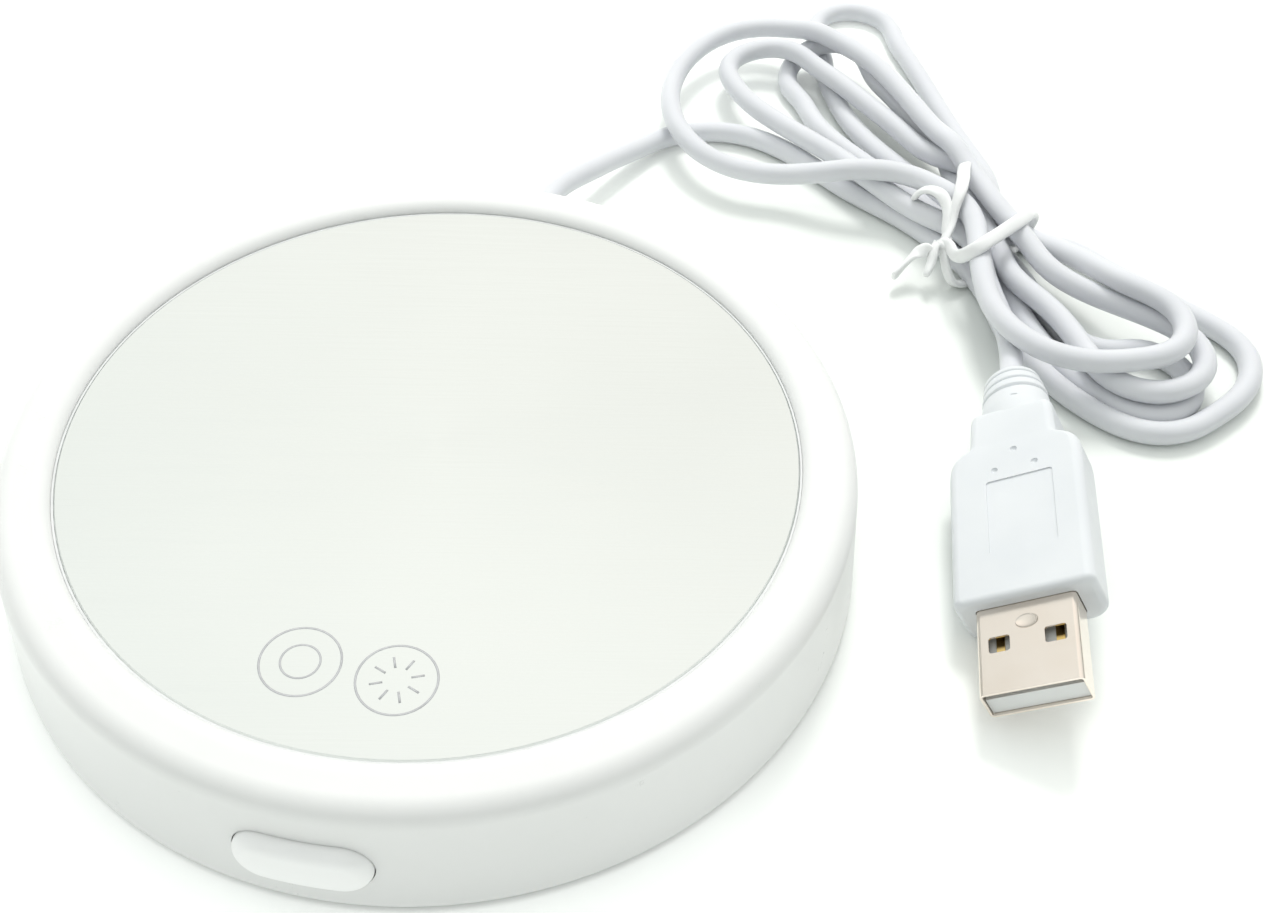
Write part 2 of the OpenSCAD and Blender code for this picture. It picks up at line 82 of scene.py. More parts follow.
class Nodes:
    """A short way to write a node tree."""

    def __init__(self, name):
        self.mat = bpy.data.materials.new(name)
        self.mat.use_nodes = True
        self.tree = self.mat.node_tree
        self.bsdf = next(n for n in self.tree.nodes if n.type == "BSDF_PRINCIPLED")
        self.coord = self.tree.nodes.new("ShaderNodeTexCoord")

    def link(self, a, b):
        self.tree.links.new(a, b)

    def mapped(self, scale=(1, 1, 1), rotation=(0, 0, 0)):
        # Rotated first and scaled after, so a stretched pattern can lie at any angle
        turn = self.tree.nodes.new("ShaderNodeVectorRotate")
        turn.rotation_type = "EULER_XYZ"
        turn.inputs["Rotation"].default_value = rotation
        self.link(self.coord.outputs["Object"], turn.inputs["Vector"])
        grow = self.tree.nodes.new("ShaderNodeVectorMath")
        grow.operation = "MULTIPLY"
        grow.inputs[1].default_value = scale
        self.link(turn.outputs[0], grow.inputs[0])
        return grow.outputs[0]

    def noise(self, scale, detail=3.0, rough=0.55, vector=None):
        n = self.tree.nodes.new("ShaderNodeTexNoise")
        n.inputs["Scale"].default_value = scale
        n.inputs["Detail"].default_value = detail
        n.inputs["Roughness"].default_value = rough
        self.link(vector if vector is not None else self.coord.outputs["Object"], n.inputs["Vector"])
        return n.outputs["Fac"]

    def voronoi(self, scale, vector=None):
        n = self.tree.nodes.new("ShaderNodeTexVoronoi")
        n.inputs["Scale"].default_value = scale
        self.link(vector if vector is not None else self.coord.outputs["Object"], n.inputs["Vector"])
        return n.outputs["Distance"]

    def ramp(self, fac, stops):
        r = self.tree.nodes.new("ShaderNodeValToRGB")
        els = r.color_ramp.elements
        while len(els) < len(stops):
            els.new(0.5)
        for e, (p, c) in zip(els, stops):
            e.position = p
            e.color = (*c, 1) if len(c) == 3 else c
        self.link(fac, r.inputs["Fac"])
        return r.outputs["Color"]

    def span(self, fac, low, high, a=0.3, b=0.7):
        m = self.tree.nodes.new("ShaderNodeMapRange")
        m.inputs["From Min"].default_value = a
        m.inputs["From Max"].default_value = b
        m.inputs["To Min"].default_value = low
        m.inputs["To Max"].default_value = high
        self.link(fac, m.inputs["Value"])
        return m.outputs["Result"]

    def mix(self, fac, a, b):
        m = self.tree.nodes.new("ShaderNodeMix")
        m.data_type = "RGBA"
        for sock, v in ((m.inputs[0], fac), (m.inputs[6], a), (m.inputs[7], b)):
            if hasattr(v, "is_output"):
                self.link(v, sock)
            elif isinstance(v, (int, float)):
                sock.default_value = v
            else:
                sock.default_value = (*v, 1)
        return m.outputs[2]

    def math(self, op, a, b=None):
        m = self.tree.nodes.new("ShaderNodeMath")
        m.operation = op
        for sock, v in ((m.inputs[0], a), (m.inputs[1], b)):
            if v is None:
                continue
            if hasattr(v, "is_output"):
                self.link(v, sock)
            else:
                sock.default_value = v
        return m.outputs[0]

    def bump(self, height, strength, distance, after=None):
        b = self.tree.nodes.new("ShaderNodeBump")
        b.inputs["Strength"].default_value = strength
        b.inputs["Distance"].default_value = distance
        self.link(height, b.inputs["Height"])
        if after is not None:
            self.link(after, b.inputs["Normal"])
        return b.outputs["Normal"]

    def set(self, **sockets):
        for k, v in sockets.items():
            sock = self.bsdf.inputs[k.replace("_", " ")]
            if hasattr(v, "is_output"):
                self.link(v, sock)
            elif isinstance(v, tuple) and len(v) == 3 and sock.type == "RGBA":
                sock.default_value = (*v, 1)
            else:
                sock.default_value = v
        return self.mat


def moulded(name, low, high, rough=(0.3, 0.42), fine=4200, tone=90, bump=0.12, depth=0.00002, spec=0.5, **more):
    """Moulded plastic: slow tone drift, satin spread of gloss and a fine moulded skin."""
    n = Nodes(name)
    slow = n.noise(tone, 2)
    grain = n.noise(fine, 3)
    return n.set(
        Base_Color=n.ramp(slow, [(0.3, low), (0.7, high)]),
        Roughness=n.span(n.noise(tone * 7, 4), *rough),
        Normal=n.bump(grain, bump, depth),
        Specular_IOR_Level=spec,
        **more,
    )


def rubbery(name, low, high, rough=(0.62, 0.8), fine=2600):
    n = Nodes(name)
    speck = n.voronoi(fine)
    return n.set(
        Base_Color=n.ramp(n.noise(260, 4), [(0.3, low), (0.7, high)]),
        Roughness=n.span(n.noise(900, 3), *rough),
        Normal=n.bump(speck, 0.25, 0.00004),
        Specular_IOR_Level=0.35,
    )


def metal(name, low, high, rough=(0.22, 0.36), streak=(600, 600, 600), turn=(0, 0, 0), bump=0.1, depth=0.00001, tone=160, **more):
    """Metal with a worked surface: streak gives how fine the marks are along each axis."""
    n = Nodes(name)
    v = n.mapped(streak, turn)
    marks = n.noise(1.0, 5, 0.6, v)
    return n.set(
        Base_Color=n.ramp(n.math("ADD", n.math("MULTIPLY", marks, 0.5), n.math("MULTIPLY", n.noise(tone, 3), 0.5)), [(0.35, low), (0.65, high)]),
        Metallic=1.0,
        Roughness=n.span(marks, *rough),
        Normal=n.bump(marks, bump, depth),
        **more,
    )


def housing_material():
    # Satin white moulding: faint spark texture, long slow waviness of the tool, and a faint tone that drifts at
    # random
    n = Nodes("housing_white")
    slow = n.noise(38, 2)
    cloud = n.noise(240, 5, 0.6)
    grain = n.noise(5200, 2, 0.5)
    wave = n.noise(46, 1)
    col = n.ramp(n.math("ADD", n.math("MULTIPLY", slow, 0.6), n.math("MULTIPLY", cloud, 0.4)), [(0.3, (0.785, 0.793, 0.783)), (0.7, (0.81, 0.815, 0.808))])
    return n.set(
        Base_Color=col,
        Roughness=n.span(n.math("ADD", n.math("MULTIPLY", cloud, 0.7), n.math("MULTIPLY", grain, 0.3)), 0.26, 0.4),
        Normal=n.bump(grain, 0.06, 0.000008, n.bump(wave, 0.2, 0.00012)),
        Specular_IOR_Level=0.45,
        Subsurface_Weight=0.30,
        Subsurface_Radius=(1.0, 0.98, 0.95),
        Subsurface_Scale=0.0016,
    )


GRAIN = math.radians(-11)  # the brushing runs about 11 degrees from +X


def plate_material():
    # Fine straight brushing with a few deeper strokes, and a soft drift of tone across the sheet
    n = Nodes("plate_steel")
    turn = (0, 0, GRAIN)
    fine = n.noise(1.0, 4, 0.65, n.mapped((95, 4600, 4600), turn))
    mid = n.noise(1.0, 3, 0.6, n.mapped((42, 1500, 1500), turn))
    rare = n.noise(1.0, 2, 0.5, n.mapped((26, 620, 620), turn))
    drift = n.noise(22, 2)
    marks = n.math("ADD", n.math("MULTIPLY", fine, 0.5), n.math("ADD", n.math("MULTIPLY", mid, 0.32), n.math("MULTIPLY", rare, 0.18)))
    col = n.ramp(n.math("ADD", n.math("MULTIPLY", marks, 0.75), n.math("MULTIPLY", drift, 0.25)), [(0.38, (0.802, 0.83, 0.81)), (0.62, (0.862, 0.89, 0.87))])
    return n.set(
        Base_Color=col,
        Metallic=1.0,
        Roughness=n.span(marks, 0.28, 0.40, 0.38, 0.62),
        Normal=n.bump(marks, 0.16, 0.000008),
        Anisotropic=0.35,
    )


def cord_material():
    # Soft PVC sheath: slightly blue white, faint drag lines and a waxy gloss
    n = Nodes("cord_pvc")
    col = n.ramp(n.noise(75, 3), [(0.3, (0.672, 0.683, 0.715)), (0.7, (0.71, 0.72, 0.75))])
    return n.set(
        Base_Color=col,
        Roughness=n.span(n.noise(420, 4), 0.30, 0.44),
        Normal=n.bump(n.noise(2600, 3), 0.16, 0.00002, n.bump(n.noise(190, 1), 0.25, 0.00008)),
        Specular_IOR_Level=0.5,
        Subsurface_Weight=0.10,
        Subsurface_Radius=(0.8, 0.8, 1.0),
        Subsurface_Scale=0.0008,
    )


def film_material():
    # Polyimide heater film: amber, with the etched foil track showing through as fine bands
    n = Nodes("film_amber")
    w = n.tree.nodes.new("ShaderNodeTexWave")
    w.wave_type = "RINGS"
    w.rings_direction = "Z"
    w.inputs["Scale"].default_value = 90
    w.inputs["Distortion"].default_value = 0.6
    n.link(n.coord.outputs["Object"], w.inputs["Vector"])
    col = n.mix(n.span(w.outputs["Fac"], 0, 1, 0.45, 0.55), (0.62, 0.30, 0.06), (0.42, 0.24, 0.10))
    return n.set(Base_Color=col, Roughness=n.span(n.noise(300, 3), 0.2, 0.34), Normal=n.bump(w.outputs["Fac"], 0.2, 0.00003), Specular_IOR_Level=0.5)


def fibre_material():
    n = Nodes("fibre_pad")
    strand = n.noise(1.0, 5, 0.7, n.mapped((900, 2600, 900), (0.3, 0.4, 0.5)))
    return n.set(
        Base_Color=n.ramp(strand, [(0.3, (0.72, 0.70, 0.64)), (0.7, (0.86, 0.85, 0.80))]),
        Roughness=n.span(strand, 0.85, 0.97),
        Normal=n.bump(strand, 0.7, 0.00016),
        Specular_IOR_Level=0.2,
    )


def board_material():
    n = Nodes("board_green")
    weave = n.noise(1.0, 2, 0.5, n.mapped((2400, 260, 2400)))
    return n.set(
        Base_Color=n.ramp(weave, [(0.3, (0.02, 0.13, 0.055)), (0.7, (0.035, 0.20, 0.085))]),
        Roughness=n.span(n.noise(500, 3), 0.25, 0.4),
        Normal=n.bump(weave, 0.25, 0.00003),
        Specular_IOR_Level=0.5,
    )


def shell_material():
    # Nickel-plated sheet: warm bright plating with faint rolling lines and rub marks from use
    n = Nodes("plug_nickel")
    roll = n.noise(1.0, 4, 0.6, n.mapped((5200, 300, 5200), (0, 0, math.radians(-3.2))))
    rub = n.noise(160, 3, 0.5)
    return n.set(
        Base_Color=n.ramp(rub, [(0.3, (0.84, 0.755, 0.675)), (0.7, (0.885, 0.81, 0.74))]),
        Metallic=1.0,
        Roughness=n.span(n.math("ADD", n.math("MULTIPLY", roll, 0.35), n.math("MULTIPLY", rub, 0.65)), 0.19, 0.27),
        Normal=n.bump(roll, 0.05, 0.000002),
    )


MAT = {
    "housing_white": housing_material(),
    "plate_steel": plate_material(),
    "silicone_grey": rubbery("silicone_grey", (0.70, 0.71, 0.71), (0.76, 0.77, 0.77), (0.5, 0.66), 1900),
    "film_amber": film_material(),
    "fibre_pad": fibre_material(),
    "zinc_steel": metal("zinc_steel", (0.52, 0.53, 0.55), (0.70, 0.71, 0.72), (0.3, 0.48), (500, 500, 500), tone=320),
    "screw_steel": metal("screw_steel", (0.50, 0.50, 0.50), (0.68, 0.68, 0.67), (0.25, 0.42), (1800, 1800, 300), bump=0.15),
    "ceramic_cream": moulded("ceramic_cream", (0.74, 0.69, 0.58), (0.82, 0.78, 0.68), (0.45, 0.6), 3000),
    "wire_red": moulded("wire_red", (0.50, 0.03, 0.025), (0.60, 0.05, 0.04), (0.35, 0.5), 3000),
    "board_green": board_material(),
    "switch_black": moulded("switch_black", (0.018, 0.018, 0.02), (0.035, 0.035, 0.038), (0.35, 0.5), 3600, bump=0.2),
    "tinned_pin": metal("tinned_pin", (0.62, 0.62, 0.60), (0.78, 0.78, 0.76), (0.2, 0.34), (900, 900, 900)),
    "plunger_white": moulded("plunger_white", (0.78, 0.78, 0.77), (0.84, 0.84, 0.83)),
    "spring_steel": metal("spring_steel", (0.55, 0.56, 0.58), (0.72, 0.73, 0.74), (0.2, 0.3), (2500, 2500, 2500)),
    "button_white": moulded("button_white", (0.925, 0.93, 0.925), (0.94, 0.945, 0.94), (0.30, 0.38), 5200, 70, bump=0.04, depth=0.000006),
    "clamp_white": moulded("clamp_white", (0.78, 0.78, 0.77), (0.84, 0.84, 0.83)),
    "wire_black": moulded("wire_black", (0.02, 0.02, 0.022), (0.04, 0.04, 0.042), (0.35, 0.5), 3000),
    "foot_rubber": rubbery("foot_rubber", (0.50, 0.505, 0.505), (0.60, 0.605, 0.60)),
    "cord_pvc": cord_material(),
    "tie_white": moulded("tie_white", (0.84, 0.85, 0.85), (0.88, 0.885, 0.885), (0.28, 0.4), 3400, 300, bump=0.2),
    "plug_pvc": moulded("plug_pvc", (0.69, 0.712, 0.735), (0.725, 0.745, 0.765), (0.36, 0.5), 3600, 110, bump=0.2, depth=0.00002, Subsurface_Weight=0.06, Subsurface_Radius=(0.8, 0.8, 1.0), Subsurface_Scale=0.0008),
    "plug_nickel": shell_material(),
    "tongue_white": moulded("tongue_white", (0.69, 0.70, 0.69), (0.75, 0.76, 0.75), (0.3, 0.42), 3600),
    "contact_gold": metal("contact_gold", (0.72, 0.50, 0.18), (0.86, 0.66, 0.30), (0.16, 0.26), (600, 3600, 600)),
}
MARKS = Nodes("plate_etch")
MARKS.set(
    Base_Color=MARKS.ramp(MARKS.noise(900, 3), [(0.3, (0.58, 0.585, 0.60)), (0.7, (0.68, 0.685, 0.70))]),
    Metallic=0.5,
    Roughness=MARKS.span(MARKS.noise(1500, 3), 0.55, 0.7),
    Normal=MARKS.bump(MARKS.noise(4200, 2), 0.3, 0.00001),
)

# ---------------------------------------------------------------------------
# Mesh helpers, in millimetres until the object is made
# ---------------------------------------------------------------------------


def make(name, verts, faces, mat, sharp=35, frame_m=None):
    """A mesh object from millimetre points, smooth but for edges sharper than the angle given."""
    co = np.asarray(verts, float)
    if frame_m is not None:
        co = co @ frame_m[0].T + frame_m[1]
    me = bpy.data.meshes.new(name)
    me.from_pydata((co * MM).tolist(), [], faces)
    me.validate()
    bm = bmesh.new()
    bm.from_mesh(me)
    bmesh.ops.remove_doubles(bm, verts=bm.verts, dist=1e-7)
    bmesh.ops.recalc_face_normals(bm, faces=bm.faces)
    bm.to_mesh(me)
    bm.free()
    ob = bpy.data.objects.new(name, me)
    scene.collection.objects.link(ob)
    me.materials.append(mat)
    me.shade_smooth()
    if sharp:
        me.set_sharp_from_angle(angle=math.radians(sharp))
    return ob


def loft(rings, close_start=True, close_end=True):
    """Faces over rings of the same number of points."""
    n = len(rings[0])
    verts = [p for r in rings for p in r]
    faces = []
    for k in range(len(rings) - 1):
        a, b = k * n, (k + 1) * n
        for i in range(n):
            j = (i + 1) % n
            faces.append((a + i, a + j, b + j, b + i))
    if close_start:
        faces.append(tuple(range(n))[::-1])
    if close_end:
        faces.append(tuple(range((len(rings) - 1) * n, len(rings) * n)))
    return verts, faces


def weighted(ob):
    """Large flat faces keep their own normals, so only the rounded edges between them are shaded round."""
    m = ob.modifiers.new("weighted", "WEIGHTED_NORMAL")
    m.keep_sharp = True
    m.weight = 70
    return ob


def evaluated(ob, mat=None, sharp=35):
    """Applies the object's modifiers, and leaves a plain mesh."""
    bpy.context.view_layer.update()
    dg = bpy.context.evaluated_depsgraph_get()
    me = bpy.data.meshes.new_from_object(ob.evaluated_get(dg), preserve_all_data_layers=False, depsgraph=dg)
    ob.modifiers.clear()
    ob.data = me
    me.materials.clear()
    if mat is not None:
        me.materials.append(mat)
    for p in me.polygons:
        p.material_index = 0
    me.shade_smooth()
    if sharp:
        me.set_sharp_from_angle(angle=math.radians(sharp))
    return ob


def cut(ob, cutters, mat, sharp=35, operation="DIFFERENCE"):
    for c in cutters:
        m = ob.modifiers.new("cut", "BOOLEAN")
        m.operation = operation
        m.solver = "EXACT"
        m.object = c
    evaluated(ob, mat, sharp)
    for c in cutters:
        bpy.data.objects.remove(c)
    return ob


def rounded_poly(pts, radii, k=6):
    """A convex polygon with its corners rounded, as (x, z) points; k + 1 points a corner."""
    pts = [np.array(p, float) for p in pts]
    out = []
    for i, p in enumerate(pts):
        a, b = pts[i - 1] - p, pts[(i + 1) % len(pts)] - p
        la, lb = np.linalg.norm(a), np.linalg.norm(b)
        a, b = a / la, b / lb
        half = math.acos(max(-1, min(1, float(a @ b)))) / 2
        r = radii[i] if hasattr(radii, "__len__") else radii
        t = min(r / math.tan(half), 0.499 * la, 0.499 * lb)
        r = t * math.tan(half)
        bis = (a + b) / np.linalg.norm(a + b)
        c = p + bis * (r / math.sin(half))
        p0, p1 = p + a * t, p + b * t
        v0, v1 = p0 - c, p1 - c
        ang = math.acos(max(-1, min(1, float(v0 @ v1) / (r * r + 1e-12))))
        for s in range(k + 1):
            f = s / k
            if ang < 1e-6:
                q = p0 + (p1 - p0) * f
            else:
                q = c + (math.sin((1 - f) * ang) * v0 + math.sin(f * ang) * v1) / math.sin(ang)
            out.append(q)
    return out


def rot(axis, deg):
    return np.array(Matrix.Rotation(math.radians(deg), 3, axis))


def catmull(points, step):
    """Points along a smooth curve through the given ones: a natural cubic spline on chord length."""
    p = np.array(points, float)
    t = np.concatenate([[0], np.cumsum(np.linalg.norm(np.diff(p, axis=0), axis=1))])
    h = np.diff(t)
    n = len(p)
    a = np.zeros((n, n))
    r = np.zeros((n, 3))
    a[0, 0] = a[-1, -1] = 1
    for i in range(1, n - 1):
        a[i, i - 1], a[i, i], a[i, i + 1] = h[i - 1], 2 * (h[i - 1] + h[i]), h[i]
        r[i] = 6 * ((p[i + 1] - p[i]) / h[i] - (p[i] - p[i - 1]) / h[i - 1])
    m = np.linalg.solve(a, r)
    s = np.linspace(0, t[-1], max(2, int(round(t[-1] / step)) + 1))
    k = np.clip(np.searchsorted(t, s, side="right") - 1, 0, n - 2)
    hk = h[k][:, None]
    u, v = (t[k + 1] - s)[:, None], (s - t[k])[:, None]
    return m[k] * u**3 / (6 * hk) + m[k + 1] * v**3 / (6 * hk) + (p[k] / hk - m[k] * hk / 6) * u + (p[k + 1] / hk - m[k + 1] * hk / 6) * v


def tube(path, widths, k=14, squash=1.0, twist=None, normal=(0, 0, 1)):
    """Rings round a path: widths gives the radius at each point, squash the other radius as a share, twist the turn of the section in radians."""
    path = np.asarray(path, float)
    tan = np.gradient(path, axis=0)
    tan /= np.linalg.norm(tan, axis=1)[:, None]
    n = np.array(normal, float)
    n = n - tan[0] * (n @ tan[0])
    n /= np.linalg.norm(n)
    rings = []
    for i, (p, d) in enumerate(zip(path, tan)):
        n = n - d * (n @ d)
        n /= np.linalg.norm(n)
        b = np.cross(d, n)
        w = widths[i] if hasattr(widths, "__len__") else widths
        th = 0.0 if twist is None else twist[i]
        c0, s0 = math.cos(th), math.sin(th)
        ax, bx = b * c0 + n * s0, n * c0 - b * s0
        sq = squash[i] if hasattr(squash, "__len__") else squash
        rings.append([p + ax * (w * math.cos(q)) + bx * (w * sq * math.sin(q)) for q in np.linspace(0, 2 * math.pi, k, endpoint=False)])
    return rings


# ---------------------------------------------------------------------------
# Cord: one length of sheath from the clamp in the housing to the plug
# ---------------------------------------------------------------------------

ROUTE = [
    (0,39,6.4), (0,43,6.4), (0,47.01,6.4), (0,51.01,6.4), (0,55.02,6.4), (-0.05,59.02,6.41), (0.54,62.97,6.22),
    (2.03,66.66,5.85), (3.91,70.14,5.28), (5.75,73.63,4.56), (7.56,77.12,3.79), (9.49,80.54,3.03), (11.55,83.91,2.37),
    (14.01,87.03,1.9), (17.22,89.38,1.68), (20.97,90.76,1.66), (24.94,91.16,1.66), (28.89,90.53,1.66),
    (32.58,89,1.66), (35.99,86.91,1.66), (39.17,84.47,1.66), (42.29,81.96,1.66), (45.52,79.6,1.66),
    (48.94,77.52,1.66), (52.4,75.5,1.66), (55.69,73.22,1.66), (58.73,70.61,1.66), (61.59,67.81,1.66),
    (64.14,64.73,1.66), (66.21,61.31,1.66), (67.93,57.69,1.66), (69.26,53.92,1.66), (70.74,50.2,1.66),
    (72.93,46.85,1.66), (75.42,43.72,1.66), (78.1,40.75,1.66), (81.18,38.2,1.66), (84.59,36.1,1.66),
    (88.38,34.9,1.66), (92.35,35.22,1.66), (95.89,37.02,1.66), (98.79,39.78,1.66), (101.46,42.77,1.66),
    (103.63,46.12,1.66), (104.85,49.92,1.66), (104.55,53.87,1.66), (102.43,57.22,1.66), (99.25,59.65,1.66),
    (95.88,61.8,1.66), (92.55,64.03,1.66), (89.16,66.17,1.66), (85.77,68.29,1.66), (82.58,70.71,1.66),
    (79.04,72.5,1.66), (75.06,72.53,1.66), (71.22,73.47,1.66), (68.48,76.31,1.66), (67.6,80.18,1.66),
    (67.37,84.17,1.66), (66.49,88.07,1.66), (64.95,91.77,1.66), (63.16,95.35,1.66), (61.43,98.96,1.66),
    (59.78,102.6,1.66), (58.19,106.28,1.66), (56.67,109.99,1.66), (55.15,113.69,1.66), (53.6,117.38,1.66),
    (51.97,121.04,1.66), (50.31,124.69,1.66), (49.08,128.49,1.66), (47.28,132.01,1.66), (43.9,134.06,1.66),
    (39.96,133.96,1.66), (36.7,131.74,1.66), (35.14,128.11,1.66), (35.59,124.16,1.66), (36.61,120.29,1.66),
    (37.65,116.43,1.66), (38.27,112.47,1.66), (39.35,108.62,1.66), (40.74,104.86,1.66), (42.36,101.2,1.66),
    (44.28,97.69,1.66), (46.56,94.4,1.66), (49.15,91.35,1.66), (51.94,88.47,1.66), (54.8,85.67,1.66),
    (57.58,82.79,1.66), (60.26,79.82,1.66), (63.11,77,1.66), (65.74,73.98,1.66), (68.12,70.77,1.66),
    (70.36,67.45,1.66), (72.36,63.98,1.66), (74.1,60.37,1.66), (76,56.85,1.66), (78.27,53.56,1.66),
    (81.29,50.99,1.66), (85.19,50.41,1.66), (89.06,51.34,1.66), (92.91,50.47,1.66), (95.63,47.62,1.66),
    (96.23,43.73,1.66), (94.45,40.21,1.66), (90.99,38.31,1.66), (87.05,38.61,1.66), (83.59,40.6,1.66),
    (80.49,43.13,1.66), (77.9,46.18,1.66), (75.61,49.46,1.66), (73.6,52.93,1.66), (72,56.6,1.66), (70.44,60.29,1.66),
    (68.61,63.84,1.66), (66.49,67.24,1.66), (64.19,70.52,1.66), (61.68,73.63,1.66), (58.86,76.48,1.66),
    (56.12,79.4,1.66), (53.26,82.2,1.66), (50.22,84.81,1.66), (47.19,87.43,1.66), (44.21,90.1,1.66),
    (41.34,92.9,1.66), (38.81,95.99,1.66), (36.84,99.48,1.66), (35.06,103.06,1.66), (32.84,106.39,1.66),
    (31.85,110.2,1.95), (32.91,113.83,3.06), (35.77,116.15,4.49), (39.57,116.47,5.47), (43.09,114.7,5.7),
    (45.22,111.39,5.27), (46.86,107.77,4.92), (49.12,104.46,4.9), (51.35,101.14,4.9), (53.45,97.73,4.91),
    (55.64,94.38,4.98), (58.09,91.23,4.74), (60.21,88.12,3.42), (61.36,84.39,2.9), (62.19,80.75,4.29),
    (63.42,77.04,5.04), (64.99,73.36,4.98), (66.81,69.79,4.9), (68.34,66.1,4.93), (69.37,62.23,5), (71.32,58.76,4.99),
    (74.09,55.88,4.92), (76.68,52.83,4.9), (78.81,49.44,4.91), (80.65,45.88,4.91), (82.72,42.46,4.9), (85.81,40,4.92),
    (89.73,39.49,4.91), (93.44,40.91,4.91), (96.24,43.72,4.98), (97.24,47.53,4.92), (96.04,51.29,4.91),
    (93.09,53.95,4.88), (89.49,55.68,4.87), (85.68,56.9,5.05), (81.83,57.86,5.53), (78.09,59.1,6.21),
    (74.85,61.33,6.84), (72.58,64.58,7.28), (70.28,67.82,7.83), (67.98,71.07,8.2), (65.98,74.54,8.28),
    (64.15,78.09,8.24), (62.15,81.52,8.73), (60.07,84.87,9.37), (58.14,88.29,8.63), (56.12,91.71,8.18),
    (54.07,95.15,8.19), (52,98.58,8.21), (49.87,101.97,8.22), (47.61,105.27,8.22), (45.05,108.35,8.18),
    (42.19,111.15,8.01), (39.01,113.56,7.82), (35.5,115.48,7.8), (31.99,117.15,6.87), (28.16,117.94,6.11),
    (24.24,117.34,5.76), (20.75,115.42,5.57), (17.99,112.53,5.48), (16.01,109.06,5.49), (14.63,105.3,5.51),
    (13.75,101.4,5.51), (13.43,97.41,5.51), (13.7,93.42,5.51), (14.59,89.52,5.51), (16.11,85.82,5.48),
    (18.28,82.46,5.4), (21.12,79.65,5.29), (24.57,77.65,5.2), (28.44,76.66,5.17), (32.44,76.61,5.2),
    (36.4,76.74,5.69), (40.26,76.64,6.76), (44.13,76.86,7.73), (48.07,77.22,8.17), (52.02,77.12,8.28),
    (55.8,76.11,8.22), (59.17,74.23,8.2), (61.89,72,8.2), (63.62,68.78,8.2), (64.46,65.16,8.2), (64.82,61.39,8.2),
    (65.24,57.6,8.18), (65.8,53.82,8.11), (66.69,50.09,8.07), (68.23,46.66,8.12), (70.49,43.74,8.22),
    (73.39,41.6,8.22), (76.57,40.46,8.21), (79.37,40.17,8.21), (83.06,40.67,8.22), (86.8,41.86,8.22),
    (90.38,43.58,8.2), (93.03,46.52,8.2), (93.74,50.4,8.2), (92.26,54.05,8.22), (89.09,56.43,8.26), (85.54,58.27,8.2),
    (82.46,60.77,7.78), (79.62,63.52,7.14), (76.56,66.01,6.44), (73.35,68.29,5.72), (70.4,70.92,5.11),
    (68.37,74.33,4.92), (66.75,77.95,5.04), (65.18,81.53,5.72), (62.48,84.23,6.26), (58.97,86.11,5.79),
    (55.99,88.62,5.14), (53.4,91.63,4.93), (50.84,94.69,4.9), (48.16,97.67,4.88), (45.41,100.59,4.9),
    (42.56,103.4,5.01), (39.58,106.06,5.16), (36.48,108.59,5.35), (33.35,111.05,5.74), (29.67,112.49,5.53),
    (25.81,111.81,5.04), (22.9,109.16,4.84), (21.85,105.35,4.86), (22.9,101.53,4.91), (24.98,98.11,4.91),
    (27.57,95.06,4.91), (30.58,92.42,4.91), (33.79,90.03,4.91), (37.07,87.74,4.91), (40.35,85.44,4.91),
    (43.52,83,4.91), (46.55,80.38,4.9), (49.5,77.68,4.96), (52.5,75.02,4.96), (55.73,72.66,4.96), (59.28,70.81,4.95),
    (62.72,68.79,4.9), (64.99,65.54,4.92), (65.96,61.66,5), (66.78,57.75,4.91), (67.87,53.89,4.88),
    (69.05,50.09,4.89), (69.95,46.25,4.9), (70.38,42.35,4.95), (70.42,38.5,5.2), (70.58,32.34,6.3),
]
PLUG_T = np.array([72.6, -3.9, 6.95])
PLUG_R = rot("Z", 3.2) @ rot("Y", -31)
PLUG = (PLUG_R, PLUG_T)


def plug_pt(x, y, z):
    return PLUG_R @ np.array([x, y, z], float) + PLUG_T


line = catmull(ROUTE, 1.2) * MM
curve = bpy.data.curves.new("cord", "CURVE")
curve.dimensions = "3D"
curve.bevel_depth = 0.00165
curve.bevel_resolution = 5
curve.use_fill_caps = True
sp = curve.splines.new("POLY")
sp.points.add(len(line) - 1)
for q, p in zip(sp.points, line):
    q.co = (*p, 1)
sp.use_smooth = True
cord = bpy.data.objects.new("cord", curve)
scene.collection.objects.link(cord)
curve.materials.append(MAT["cord_pvc"])
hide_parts("cord_lead", "cord_hank", "cord_tail")
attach(cord, "warmer")

# ---------------------------------------------------------------------------
# Plug grip
# ---------------------------------------------------------------------------


def rect(x0, x1, y0, y1):
    return [(x0, y0), (x1, y0), (x1, y1), (x0, y1)]


